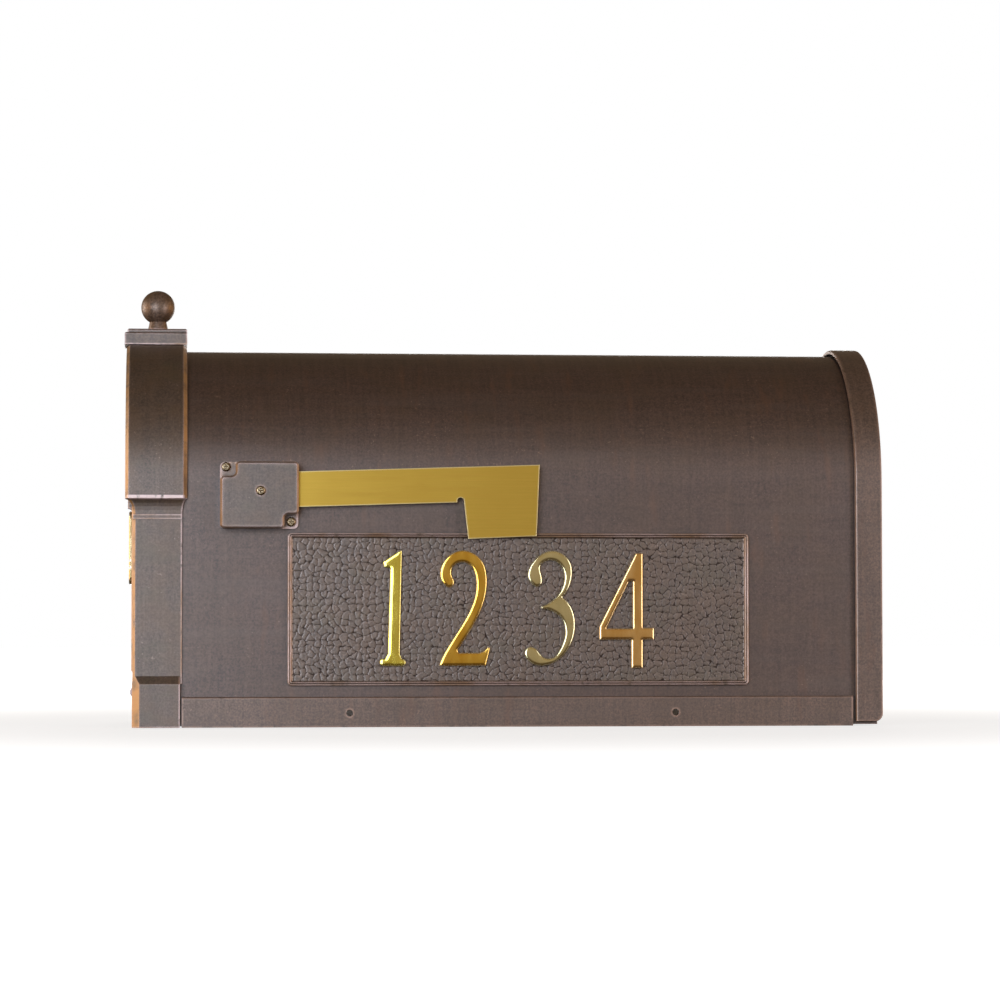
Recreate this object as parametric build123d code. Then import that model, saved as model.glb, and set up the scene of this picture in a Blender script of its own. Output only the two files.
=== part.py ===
from build123d import *
import math
import os

# Curbside letter box: a rolled arch-topped tunnel with a cast front frame, a drawn rear cap,
# a bottom-hinged door, a swinging signal flag and a cast address plaque with four numerals.
# Millimetres.  The drawing frame has X = 0 near the front of the hood, +X to the rear, Y = 0 on
# the middle plane with the flag side at -Y, and Z = 0 at the bottom edge of the rails.
# Every solid is written in the mounting frame, whose origin is `datum` of the drawing frame.

# --- tunnel -------------------------------------------------------------------------------------
box_length = 520.4
spring_height = 168.1       # height at which the straight sides turn into the half circle
shell_half = 95.0           # outside half width, and outside radius of the crown
sheet = 1.5
shell_low = 1.0
shell_front = 14.1
shell_rear = 517.2
running_gap = 0.15          # radial gap between curved shells that only rest on each other
overall_cut = 120.0         # half length of a cutter that passes both side walls

# --- floor pan and side rails -------------------------------------------------------------------
board_thickness = 19.5      # the mounting board that fits under the floor between the rails
floor_half = shell_half - sheet - 0.1
floor_front = shell_front
floor_rear = 515.6
flange_low = 2.0
tab_half = 70.0             # half width of the floor's front and rear screw tabs
rear_flange_high = 36.0
front_screw_height = 10.0
rear_screw_height = 28.0
floor_screw_ys = (-50, 0, 50)
floor_screw_front = 8.0     # X of the front screws' tips, in the sill
floor_screw_head = 1.8
rail_front = 37.9
rail_rear = 499.8
rail_height = 20.7
rail_thickness = 2.5
rail_low = 0.0
rail_bevel = 0.8

# --- mounting holes -----------------------------------------------------------------------------
mount_hole_mid = 263.9
mount_hole_spacing = 224.2
mount_hole_height = 9.7
mount_hole_r = 2.4

# --- front casting ------------------------------------------------------------------------------
hood_half = 100.2
hood_front = -0.8
hood_rear = 41.2
hood_low = 155.6
hood_front_bevel = 2.2
hood_rear_bevel = 2.6
pilaster_half = 96.8
pilaster_front = 4.6
pilaster_rear = 37.8
cove_low = 144.8
astragal_low = 141.6
astragal_proud = 0.7
pedestal_half = 100.0
pedestal_front = 4.2
pedestal_rear = 36.6
pedestal_high = 29.6
pedestal_slope_top = 35.0
pedestal_bevel = 5.0
pilaster_bevel = 1.6
opening_half = 81.0
rebate_half = 77.0
rebate_front = 8.6
sill_top = 19.5

# --- cap block and ball on the crown ------------------------------------------------------------
cap_front = -2.4
cap_rear = 41.4
cap_half = 18.0
cap_low = 258.0             # the block is cut to the crown's curve above this
cap_edge_low = 267.2
cap_high = 275.9
cap_bevel = 0.9
cap_top_half = 14.5
cap_top_front = -0.4
cap_top_rear = 41.4
cap_top_high = 278.6
ball_radius = 11.9
ball_height = 294.7
neck_low_radius = 7.2
neck_high_radius = 5.7
neck_high = 285.4
stud_radius = 3.0
stud_low = 263.7
ball_x = 20.9

# --- rear cap -----------------------------------------------------------------------------------
cap_band_front = 501.6
band_half = 99.6
band_wall = 2.6
band_low = 2.9
band_corner = 5.6
band_front_round = 1.6
band_rear_round = 0.6
panel_thickness = 2.0
spacer_low = 24.0
spacer_front = 505.6

# --- catch at the top of the door ---------------------------------------------------------------
catch_front = 9.7
catch_rear = 19.0
catch_half = 15.0
catch_low = 228.0
catch_x = 11.4
catch_y = 9.0
catch_tip = 252.0
catch_screw_radius = 1.5
catch_head_radius = 1.65
catch_head = 1.6
strike_thickness = 1.2
strike_half = 13.0
strike_low = 219.0
strike_high = 241.0
strike_rivet = 1.2
strike_rivet_z = 223.5
strike_rivet_ys = (-8, 8)
strike_rivet_head = 0.9
strike_rivet_head_radius = 2.3

# --- door ---------------------------------------------------------------------------------------
door_half = 80.3
door_front = 5.0
door_back = 8.0
door_low = 20.3
door_side_low = 28.4
hinge_x = 6.5
hinge_z = 24.0
barrel_radius = 3.8
barrel_inner = 61.0
barrel_outer = 76.5
hinge_pin_radius = 2.0
hinge_bore_radius = 2.06
hinge_pin_inner = 62.5
hinge_pin_outer = 84.0
moulding_front = 3.5
moulding_inset = 9.0
moulding_width = 6.0
moulding_bevel = 0.9
panel_inset = 21.0
panel_proud = 0.9
pull_front = 1.1
pull_half = 17.0
pull_low = 98.5
pull_high = 149.7
pull_corner = 5.0
pull_bevel = 0.7
scoop_height = 128.0
scoop_radius = 12.0
scoop_depth = 2.4
groove_heights = (110.2, 115.2)
groove_width = 1.3
groove_depth = 1.4
pull_screw_heights = (105.0, 143.0)
pull_screw_radius = 1.5
pull_screw_tip = 3.1
pull_head_radius = 2.8
pull_head = 1.5

# --- flag and its housing -----------------------------------------------------------------------
pivot_x = 90.7
pivot_z = 160.6
housing_left = 63.4
housing_right = 116.6
housing_low = 135.0
housing_high = 180.6
housing_corner = 3.4
housing_depth = 14.0
housing_base = 2.5
housing_front_wall = 3.0
housing_wall = 2.5
housing_bevel = 1.3
notch_left_width = 10.4
notch_left_height = 9.8
notch_right_width = 9.8
notch_right_height = 9.6
ear_screws = ((67.4, 177.2), (111.7, 139.8))
slot_left = 76.2
slot_low = 147.6
slot_inner = 4.6
slot_outer = 8.4
blade_inner = 5.3
blade_thickness = 2.5
blade_tilt = 1.8
arm_half = 12.1
arm_rise = 0.5              # the arm's middle line runs this far above the pivot
arm_length = 191.3
drop_start = 138.5
drop_low = -37.2
drop_taper_front = 2.2
drop_taper_rear = 3.7
relief_radius = 2.3
bushing_radius = 4.5
bushing_proud = 1.2         # how far the bushing stands out of each face of the blade
bushing_gap = 0.06
washer_radius = 6.5
spring_washer_thickness = 1.4
front_washer_thickness = 1.8
pivot_radius = 2.5

# --- address plaque -----------------------------------------------------------------------------
plaque_left = 109.4
plaque_right = 427.0
plaque_low = 28.2
plaque_high = 132.5
plaque_thickness = 3.2
plaque_corner = 3.0
plaque_bevel = 0.5
plaque_rim = 2.6
plaque_field = 2.2
plaque_stud_inset = 15.0
plaque_stud_radius = 1.9
numeral_thickness = 3.0
numeral_bevel = 0.55
numeral_stud_radius = 1.2

# --- fasteners ----------------------------------------------------------------------------------
nut_flats = 7.0
nut_height = 2.4
screw_radius = 1.9
screw_tip = 87.0            # |Y| of the housing screws' tips, inside the tunnel
stud_tip = 88.5             # |Y| of the plaque studs' tips, inside the tunnel
pan_head_radius = 3.2
pan_head_height = 2.1
rear_head_round = 1.1
rivet_x = 28.0
rivet_angles = (-66, -22, 22, 66)
rivet_radius = 1.6
rivet_tip = 96.8
rivet_head_radius = 3.2
rivet_head = 2.0
head_gap = 0.12
wall_reach = 8.0            # how far a wall cutter starts inside the tunnel
clearance = 0.05            # radial, round a screw that passes through
fit_gap = 0.02              # radial, round a screw or stud that holds

datum = Vector(mount_hole_mid, 0, board_thickness)
side = -shell_half          # Y of the flat flag-side wall


def save(name, shape):
    """Write one node in the mounting frame."""
    placed = Pos(-datum.X, -datum.Y, -datum.Z) * shape
    export_step(placed, f"parts/{name}.step")


def block(x_range, y_range, z_range):
    """Box between two corners."""
    sizes = [high - low for low, high in (x_range, y_range, z_range)]
    middle = [(low + high) / 2 for low, high in (x_range, y_range, z_range)]
    return Pos(*middle) * Box(*sizes)


def wide_block(x_range, half, z_range):
    """Box centred on the middle plane."""
    return block(x_range, (-half, half), z_range)


def arch(half, low, x_start, x_end):
    """Arch-topped bar along X: straight sides from `low`, half circle above the springing line."""
    sides = Polyline((-half, spring_height), (-half, low), (half, low), (half, spring_height))
    crown = ThreePointArc((half, spring_height), (0, spring_height + half), (-half, spring_height))
    face = Plane.YZ * make_face([sides, crown])
    return Pos(x_start, 0, 0) * extrude(face, x_end - x_start)


def rod_y(radius, x, z, y_start, y_end):
    """Round bar along Y."""
    return Pos(x, (y_start + y_end) / 2, z) * Rot(90, 0, 0) * Cylinder(radius, abs(y_end - y_start))


def rod_x(radius, y, z, x_start, x_end):
    """Round bar along X."""
    return Pos((x_start + x_end) / 2, y, z) * Rot(0, 90, 0) * Cylinder(radius, abs(x_end - x_start))


def rod_z(radius, x, y, z_start, z_end):
    """Round bar along Z."""
    return Pos(x, y, (z_start + z_end) / 2) * Cylinder(radius, z_end - z_start)


def edges_at(shape, axis, value):
    """Edges that lie in the plane axis = value."""
    return shape.edges().filter_by_position(axis, value - 0.01, value + 0.01)


def side_plate(sketch, y_inner, thickness):
    """Plate parallel to the flag side, drawn in (X, Z), from y_inner outwards to -Y."""
    return Pos(0, y_inner, 0) * extrude(Plane.XZ * sketch, thickness)


def shell_inside(z):
    """Inside half width of the tunnel at height z."""
    inner = shell_half - sheet
    above = max(0.0, z - spring_height)
    return math.sqrt(inner**2 - above**2)


def hex_nut(x, z, y_outer, bore):
    """Hexagon nut on the inside of the flag-side wall, its outer face at y_outer."""
    body = extrude(Plane.XZ * RegularPolygon(nut_flats / 2, 6, major_radius=False), nut_height)
    nut = Pos(x, y_outer + nut_height, z) * body
    return nut - rod_y(bore, x, z, y_outer - 1, y_outer + nut_height + 1)


def pan_head_y(x, z, y_face, radius=pan_head_radius, height=pan_head_height):
    """Pan head with a cross recess, on a face that looks to -Y."""
    head = rod_y(radius, x, z, y_face, y_face - height)
    head = fillet(edges_at(head, Axis.Y, y_face - height), height * 0.55)
    for turn in (0, 90):
        slot = Box(radius * 1.15, height, radius * 0.3)
        head -= Pos(x, y_face - height, z) * Rot(0, turn, 0) * slot
    return head


# --- tunnel, floor and rails --------------------------------------------------------------------
def mount_holes():
    """Cutters for the rail holes, right through both sides."""
    cutters = []
    for sign in (-1, 1):
        x = mount_hole_mid + sign * mount_hole_spacing / 2
        cutters.append(rod_y(mount_hole_r, x, mount_hole_height, -overall_cut, overall_cut))
    return cutters


def plaque_studs():
    """X, Z of the four studs behind the plaque."""
    xs = (plaque_left + plaque_stud_inset, plaque_right - plaque_stud_inset)
    zs = (plaque_low + plaque_stud_inset, plaque_high - plaque_stud_inset)
    return [(x, z) for x in xs for z in zs]


def frame_rivet(radius, inner, outer, angle):
    """Radial bar through the crown of the tunnel at the front casting."""
    bar = Pos(0, 0, (inner + outer) / 2) * Cylinder(radius, outer - inner)
    return Pos(rivet_x, 0, spring_height) * Rot(angle, 0, 0) * bar


def make_body_shell():
    shell = arch(shell_half, shell_low, shell_front, shell_rear)
    shell -= arch(shell_half - sheet, shell_low - 1, shell_front - 1, shell_rear + 1)
    for cutter in mount_holes():
        shell -= cutter
    for x, z in plaque_studs():
        shell -= rod_y(plaque_stud_radius + clearance, x, z, side + wall_reach, side - 1)
    for x, z in ear_screws:
        shell -= rod_y(screw_radius + clearance, x, z, side + wall_reach, side - 1)
    for angle in rivet_angles:
        shell -= frame_rivet(rivet_radius + clearance, shell_half - wall_reach, shell_half + 1, angle)
    return shell


def make_floor_pan():
    floor_top = board_thickness + sheet
    pan = wide_block((floor_front, floor_rear), floor_half, (board_thickness, floor_top))
    for sign in (-1, 1):
        edge = sorted((sign * floor_half, sign * (floor_half - sheet)))
        pan += block((hood_rear, floor_rear), edge, (flange_low, board_thickness))
    pan += wide_block((floor_front, floor_front + sheet), tab_half, (flange_low, board_thickness))
    pan += wide_block((floor_rear - sheet, floor_rear), tab_half, (floor_top, rear_flange_high))
    for cutter in mount_holes():
        pan -= cutter
    for y in floor_screw_ys:
        front_cut = (floor_front - 1, floor_front + 2 * sheet)
        rear_cut = (floor_rear - 2 * sheet, floor_rear + 1)
        pan -= rod_x(screw_radius + clearance, y, front_screw_height, *front_cut)
        pan -= rod_x(screw_radius + clearance, y, rear_screw_height, *rear_cut)
    return pan


def make_side_rail(sign):
    inner = sign * shell_half
    edge = sorted((inner, inner + sign * rail_thickness))
    rail = block((rail_front, rail_rear), edge, (rail_low, rail_height))
    outer = inner + sign * rail_thickness
    top_outer = edges_at(rail, Axis.Y, outer).filter_by_position(Axis.Z, rail_height - 0.01, 99)
    rail = chamfer(top_outer, rail_bevel)
    for cutter in mount_holes():
        rail -= cutter
    return rail


# --- rear cap -----------------------------------------------------------------------------------
def make_rear_cap():
    cap = arch(band_half, band_low, cap_band_front, box_length)
    bottom_rear = edges_at(cap, Axis.X, box_length).filter_by_position(Axis.Z, band_low - 1, band_low + 1)
    cap = fillet(bottom_rear, band_corner)
    front_edges = edges_at(cap, Axis.X, cap_band_front).filter_by_position(Axis.Z, band_low + 1, 999)
    cap = fillet(front_edges, band_front_round)
    rear_edges = edges_at(cap, Axis.X, box_length).filter_by_position(Axis.Z, band_low + 1, 999)
    cap = fillet(rear_edges, band_rear_round)
    cap -= arch(band_half - band_wall, -band_corner, cap_band_front - 1, box_length - panel_thickness)
    for y in floor_screw_ys:
        hole = (box_length - 2 * panel_thickness, box_length + 1)
        cap -= rod_x(screw_radius + clearance, y, rear_screw_height, *hole)
    return cap


def make_rear_spacer():
    """Packing strip that fills the gap between the tunnel and the rear cap's band."""
    inner = shell_half + running_gap
    outer = band_half - band_wall - running_gap
    strip = arch(outer, spacer_low, spacer_front, shell_rear)
    return strip - arch(inner, spacer_low - 1, spacer_front - 1, shell_rear + 1)


def make_rear_cap_screws():
    screws = []
    for y in floor_screw_ys:
        head_top = box_length + pan_head_height
        head = rod_x(pan_head_radius, y, rear_screw_height, box_length, head_top)
        head = fillet(edges_at(head, Axis.X, head_top), rear_head_round)
        shank = rod_x(screw_radius, y, rear_screw_height, floor_rear - 2 * sheet, box_length)
        screws.append(head + shank)
    return Compound(screws)


# --- front casting ------------------------------------------------------------------------------
def frame_section(front, rear, half, bevel):
    """Plan outline of the casting with bevelled front corners."""
    points = [
        (front, -half + bevel),
        (front + bevel, -half),
        (rear, -half),
        (rear, half),
        (front + bevel, half),
        (front, half - bevel),
    ]
    return make_face(Polyline(*points, close=True))


def make_cove():
    """Hollow quarter round that draws the hood in to the pilasters, as stacked sections."""
    steps = 6
    sections = []
    for step in range(steps + 1):
        angle = math.radians(90 * step / steps)
        inward = math.sin(angle)
        height = hood_low - (hood_low - cove_low) * (1 - math.cos(angle))
        front = hood_front + (pilaster_front - hood_front) * inward
        rear = hood_rear - (hood_rear - pilaster_rear) * inward
        half = hood_half - (hood_half - pilaster_half) * inward
        sections.append(Pos(0, 0, height) * frame_section(front, rear, half, pilaster_bevel))
    return loft(sections, ruled=True)


def make_hood():
    hood = arch(hood_half, hood_low, hood_front, hood_rear)
    rear_edges = edges_at(hood, Axis.X, hood_rear).filter_by_position(Axis.Z, hood_low + 1, 999)
    hood = chamfer(rear_edges, hood_rear_bevel)
    front_edges = edges_at(hood, Axis.X, hood_front).filter_by_position(Axis.Z, hood_low + 1, 999)
    return chamfer(front_edges, hood_front_bevel)


def make_front_frame():
    frame = make_hood() + make_cove()
    pilaster = frame_section(pilaster_front, pilaster_rear, pilaster_half, pilaster_bevel)
    frame += Pos(0, 0, pedestal_high) * extrude(pilaster, cove_low - pedestal_high)
    proud = astragal_proud
    astragal = frame_section(
        pilaster_front - proud, pilaster_rear, pilaster_half + proud, pilaster_bevel - proud
    )
    frame += Pos(0, 0, astragal_low) * extrude(astragal, cove_low - astragal_low)
    pedestal = frame_section(pedestal_front, pedestal_rear, pedestal_half, pedestal_bevel)
    frame += extrude(pedestal, pedestal_high)
    slope_top = frame_section(pilaster_front, pedestal_rear, pilaster_half, pilaster_bevel)
    frame += loft([Pos(0, 0, pedestal_high) * pedestal, Pos(0, 0, pedestal_slope_top) * slope_top])
    frame -= arch(opening_half, sill_top, hood_front - 5, rebate_front)
    frame -= arch(rebate_half, sill_top, rebate_front - 1, shell_front)
    frame -= arch(shell_half + running_gap, -1, shell_front - 0.1, hood_rear + 1)
    for sign in (-1, 1):
        ends = (sign * (opening_half - 1), sign * (hinge_pin_outer + 0.3))
        frame -= rod_y(hinge_pin_radius + fit_gap, hinge_x, hinge_z, *ends)
        frame -= rod_z(catch_screw_radius + fit_gap, catch_x, sign * catch_y, catch_low, catch_tip + 0.5)
    for y in floor_screw_ys:
        hole = (floor_screw_front - 0.5, shell_front + 1)
        frame -= rod_x(screw_radius + fit_gap, y, front_screw_height, *hole)
    for angle in rivet_angles:
        frame -= frame_rivet(rivet_radius + fit_gap, shell_half - 1, rivet_tip + 0.2, angle)
    return frame - rod_z(stud_radius + fit_gap, ball_x, 0, cap_low, cap_high)


def make_frame_rivets():
    rivets = []
    for angle in rivet_angles:
        inner = shell_half - sheet
        head = frame_rivet(rivet_head_radius, inner - rivet_head, inner - head_gap, angle)
        rivets.append(head + frame_rivet(rivet_radius, inner - rivet_head, rivet_tip, angle))
    return Compound(rivets)


def make_frame_screws():
    screws = []
    face = floor_front + sheet
    for y in floor_screw_ys:
        head = rod_x(pan_head_radius, y, front_screw_height, face, face + floor_screw_head)
        screws.append(head + rod_x(screw_radius, y, front_screw_height, floor_screw_front, face))
    return Compound(screws)


def make_hinge_pins():
    pins = []
    for sign in (-1, 1):
        ends = (sign * hinge_pin_inner, sign * hinge_pin_outer)
        pins.append(rod_y(hinge_pin_radius, hinge_x, hinge_z, *ends))
    return Compound(pins)


def make_cap_block():
    cap = wide_block((cap_front, cap_rear), cap_half, (cap_low, cap_high))
    cap = chamfer(edges_at(cap, Axis.Z, cap_high), cap_bevel)
    top = wide_block((cap_top_front, cap_top_rear), cap_top_half, (cap_high - 1, cap_top_high))
    cap += chamfer(edges_at(top, Axis.Z, cap_top_high), cap_bevel)
    cap -= arch(hood_half + fit_gap, hood_low, hood_front - 1, hood_rear + 1)
    cap -= wide_block((cap_front - 1, cap_top_rear + 1), cap_half + 1, (cap_low - 1, cap_edge_low))
    return cap - rod_z(stud_radius + fit_gap, ball_x, 0, cap_low, cap_top_high + 1)


def make_finial_ball():
    ball = Pos(ball_x, 0, ball_height) * Sphere(ball_radius)
    neck_height = neck_high - cap_top_high
    neck = Cone(neck_low_radius, neck_high_radius, neck_height)
    neck = Pos(ball_x, 0, cap_top_high + neck_height / 2) * neck
    return ball + neck + rod_z(stud_radius, ball_x, 0, stud_low, ball_height)


# --- catch --------------------------------------------------------------------------------------
def make_catch_magnet():
    magnet = wide_block((catch_front, catch_rear), catch_half, (catch_low, spring_height + rebate_half))
    magnet &= arch(rebate_half - clearance, sill_top, catch_front - 1, catch_rear + 1)
    for sign in (-1, 1):
        magnet -= rod_z(catch_screw_radius + clearance, catch_x, sign * catch_y, catch_low - 1, catch_tip)
    return magnet


def make_catch_screws():
    screws = []
    for sign in (-1, 1):
        y = sign * catch_y
        head = rod_z(catch_head_radius, catch_x, y, catch_low - catch_head, catch_low)
        screws.append(head + rod_z(catch_screw_radius, catch_x, y, catch_low, catch_tip))
    return Compound(screws)


def make_strike_plate():
    face = door_back + strike_thickness
    plate = wide_block((door_back, face), strike_half, (strike_low, strike_high))
    for y in strike_rivet_ys:
        plate -= rod_x(strike_rivet + clearance, y, strike_rivet_z, door_back - 1, face + 1)
    return plate


def make_strike_rivets():
    rivets = []
    inner = door_back + strike_thickness
    outer = door_front - strike_rivet_head
    for y in strike_rivet_ys:
        shank = rod_x(strike_rivet, y, strike_rivet_z, outer, inner)
        head = rod_x(strike_rivet_head_radius, y, strike_rivet_z, inner, inner + strike_rivet_head)
        button = rod_x(strike_rivet_head_radius, y, strike_rivet_z, outer, door_front)
        rivets.append(shank + head + button)
    return Compound(rivets)


# --- door ---------------------------------------------------------------------------------------
def make_door_panel():
    plate = arch(door_half, door_low, door_front, door_back)
    for sign in (-1, 1):
        ends = sorted((sign * barrel_inner, sign * (door_half + 1)))
        plate -= block((door_front - 1, door_back + 1), ends, (0, door_side_low))
    ring_low = door_side_low + moulding_inset
    half = door_half - moulding_inset
    moulding = arch(half, ring_low, moulding_front, door_front)
    moulding = chamfer(edges_at(moulding, Axis.X, moulding_front), moulding_bevel)
    inner_half = half - moulding_width
    moulding -= arch(inner_half, ring_low + moulding_width, moulding_front - 1, door_front + 1)
    panel_front = door_front - panel_proud
    field = arch(door_half - panel_inset, door_side_low + panel_inset, panel_front, door_front)
    door = plate + moulding + field
    for sign in (-1, 1):
        ends = (sign * barrel_inner, sign * barrel_outer)
        door += rod_y(barrel_radius, hinge_x, hinge_z, *ends)
        door += block((door_front, door_back), sorted(ends), (hinge_z, door_side_low))
        bore = (sign * (barrel_inner - 0.5), sign * (door_half + 1))
        door -= rod_y(hinge_bore_radius, hinge_x, hinge_z, *bore)
    for y in strike_rivet_ys:
        door -= rod_x(strike_rivet + clearance, y, strike_rivet_z, 0, door_back + 1)
        door -= rod_x(strike_rivet_head_radius + 0.6, y, strike_rivet_z, 0, door_front)
    for z in pull_screw_heights:
        door -= rod_x(pull_screw_radius + clearance, 0, z, 0, door_back + 1)
    door -= wide_block((0, door_front), pull_half + 0.2, (pull_low - 0.2, pull_high + 0.2))
    return door


def make_door_pull():
    pull = wide_block((pull_front, door_front), pull_half, (pull_low, pull_high))
    pull = fillet(pull.edges().filter_by(Axis.X), pull_corner)
    pull = chamfer(edges_at(pull, Axis.X, pull_front), pull_bevel)
    pull -= rod_x(scoop_radius, 0, scoop_height, pull_front - 1, pull_front + scoop_depth)
    for z in groove_heights:
        depth = (pull_front - 1, pull_front + groove_depth)
        pull -= wide_block(depth, pull_half + 1, (z - groove_width / 2, z + groove_width / 2))
    for z in pull_screw_heights:
        pull -= rod_x(pull_screw_radius + fit_gap, 0, z, pull_screw_tip - 0.2, door_front + 1)
    return pull


def make_pull_screws():
    screws = []
    for z in pull_screw_heights:
        head = rod_x(pull_head_radius, 0, z, door_back, door_back + pull_head)
        screws.append(head + rod_x(pull_screw_radius, 0, z, pull_screw_tip, door_back))
    return Compound(screws)


# --- flag ---------------------------------------------------------------------------------------
def housing_outline(inset=0.0):
    """Rectangle with its upper-left and lower-right corners cut away, shrunk by `inset`."""
    left = housing_left + inset
    right = housing_right - inset
    low = housing_low + inset
    high = housing_high - inset
    points = [
        (left, low),
        (right - notch_right_width, low),
        (right - notch_right_width, low + notch_right_height),
        (right, low + notch_right_height),
        (right, high),
        (left + notch_left_width, high),
        (left + notch_left_width, high - notch_left_height),
        (left, high - notch_left_height),
    ]
    return make_face(Polyline(*points, close=True))


def make_flag_housing():
    width = housing_right - housing_left
    height = housing_high - housing_low
    middle = Pos((housing_left + housing_right) / 2, (housing_low + housing_high) / 2)
    base = middle * RectangleRounded(width, height, housing_corner)
    housing = side_plate(base, side, housing_base)
    raised = side_plate(housing_outline(), side, housing_depth)
    raised = fillet(raised.edges().filter_by(Axis.Y), housing_corner - 0.4)
    raised = chamfer(edges_at(raised, Axis.Y, side - housing_depth), housing_bevel)
    housing += raised
    hollow_depth = housing_depth - housing_base - housing_front_wall
    housing -= side_plate(housing_outline(housing_wall), side - housing_base, hollow_depth)
    slot_y = (side - slot_outer, side - slot_inner)
    housing -= block((slot_left, housing_right + 1), slot_y, (slot_low, housing_high + 1))
    housing -= rod_y(pivot_radius + fit_gap, pivot_x, pivot_z, side + 1, side - housing_depth - 1)
    for x, z in ear_screws:
        housing -= rod_y(screw_radius + clearance, x, z, side + 1, side - housing_base - 1)
    return housing


def make_housing_screws():
    screws = []
    for x, z in ear_screws:
        head = pan_head_y(x, z, side - housing_base)
        screws.append(head + rod_y(screw_radius, x, z, side - housing_base, -screw_tip))
    return Compound(screws)


def make_housing_nuts():
    nuts = []
    for x, z in ear_screws:
        face = -(shell_inside(z + nut_flats / 2) - 0.2)
        nuts.append(hex_nut(x, z, face, screw_radius + fit_gap))
    return Compound(nuts)


def make_pivot_screw():
    front = side - housing_depth
    head = pan_head_y(pivot_x, pivot_z, front)
    return head + rod_y(pivot_radius, pivot_x, pivot_z, front, side)


def blade_outline():
    """Arm with a rounded pivot end and a hanging rectangle at its far end, pivot at (0, 0)."""
    arm = Pos(drop_start / 2, 0) * Rectangle(drop_start, 2 * arm_half)
    hub = Circle(arm_half)
    drop = make_face(Polyline(
        (drop_start, -arm_half + relief_radius),
        (drop_start + drop_taper_front, drop_low),
        (arm_length - drop_taper_rear, drop_low + 0.5),
        (arm_length, arm_half),
        (drop_start, arm_half),
        close=True,
    ))
    relief = Circle(relief_radius) + Pos(0, -relief_radius) * Rectangle(2 * relief_radius, 2 * relief_radius)
    relief = Pos(drop_start - relief_radius, -arm_half + 1) * relief
    return Pos(0, arm_rise) * (arm + hub + drop - relief)


def make_flag_blade():
    blade = extrude(Plane.XZ * (Rot(0, 0, blade_tilt) * blade_outline()), blade_thickness)
    blade = Pos(pivot_x, side - blade_inner, pivot_z) * blade
    return blade - rod_y(bushing_radius + fit_gap, pivot_x, pivot_z, side, side - housing_depth)


def make_flag_bushing():
    low = side - blade_inner + bushing_proud
    high = side - blade_inner - blade_thickness - bushing_proud
    bushing = rod_y(bushing_radius, pivot_x, pivot_z, low, high)
    return bushing - rod_y(pivot_radius + bushing_gap, pivot_x, pivot_z, side, side - housing_depth)


def make_washer(y_start, y_end):
    ring = rod_y(washer_radius, pivot_x, pivot_z, y_start, y_end)
    return ring - rod_y(pivot_radius + bushing_gap, pivot_x, pivot_z, side, side - housing_depth)


# --- address plaque and numerals ----------------------------------------------------------------
def make_address_plaque():
    width = plaque_right - plaque_left
    height = plaque_high - plaque_low
    middle = Pos((plaque_left + plaque_right) / 2, (plaque_low + plaque_high) / 2)
    outline = middle * RectangleRounded(width, height, plaque_corner)
    plaque = side_plate(outline, side, plaque_thickness)
    plaque = chamfer(edges_at(plaque, Axis.Y, side - plaque_thickness), plaque_bevel)
    field = middle * RectangleRounded(width - 2 * plaque_rim, height - 2 * plaque_rim, plaque_corner - 1)
    plaque -= side_plate(field, side - plaque_field, plaque_thickness)
    for x, z in plaque_studs():
        plaque += rod_y(plaque_stud_radius, x, z, side - 1, -stud_tip)
    for x, z in numeral_studs():
        plaque -= rod_y(numeral_stud_radius + fit_gap, x, z, side + 1, side - plaque_thickness - 1)
    return plaque


def make_plaque_nuts():
    face = -(shell_half - sheet)
    return Compound([hex_nut(x, z, face, plaque_stud_radius + fit_gap) for x, z in plaque_studs()])


def outline_one():
    """Upright stroke with a slanted flag at the top and a rounded foot."""
    foot = Pos(8.8, 2.6) * RectangleRounded(17.6, 5.2, 2.4)
    stem = make_face(Polyline((5.3, 2), (13.5, 2), (13.7, 79.2), (12.9, 79.4), (1.0, 71.2),
                              (1.8, 67.4), (6.1, 66.6), close=True))
    ankle = make_face(Polyline((3.6, 5), (5.3, 8.5), (13.5, 8.5), (15.2, 5), close=True))
    return foot + stem + ankle


def outline_two():
    outer = Spline((6.3, 53.5), (1.0, 60.2), (5.2, 73.8), (16.2, 79.0), (28.1, 73.3),
                   (32.6, 57.1), (28.1, 37.3), (12.5, 10.9))
    toe = Polyline((12.5, 10.9), (13.2, 9.0), (26.5, 9.0))
    tip = ThreePointArc((26.5, 9.0), (30.6, 10.3), (33.3, 13.2))
    base = Polyline((33.3, 13.2), (34.9, 12.4), (31.8, 0), (0, 0))
    inner = Spline((0, 0), (19.8, 35.2), (25.5, 57.1), (21.0, 68.8), (14.6, 70.7),
                   (9.0, 67.0), (8.6, 61.3), (10.1, 57.8), (9.2, 54.6), (6.3, 53.5))
    return make_face([outer, toe, tip, base, inner])


def outline_three():
    upper = Spline((7.9, 54.0), (2.4, 61.7), (7.2, 72.6), (20.0, 78.9), (30.6, 72.5),
                   (32.6, 61.5), (26.1, 47.0))
    lower = Spline((26.1, 47.0), (33.4, 37.0), (34.8, 27.6), (30.2, 11.7), (20.4, 2.3),
                   (10.6, 0.0), (1.9, 4.3), (0.3, 10.0), (3.6, 13.1), (7.9, 11.4),
                   (13.0, 5.9), (18.5, 5.2), (25.2, 12.4), (28.2, 23.0), (25.2, 32.6),
                   (18.6, 37.4), (11.6, 39.0))
    tip = Line((11.6, 39.0), (11.4, 40.6))
    inside = Spline((11.4, 40.6), (20.4, 45.6), (27.0, 55.5), (26.8, 65.6), (21.2, 71.6),
                    (14.6, 71.6), (10.8, 67.8), (11.9, 60.6), (11.3, 55.6), (7.9, 54.0))
    return make_face([upper, lower, tip, inside])


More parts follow.
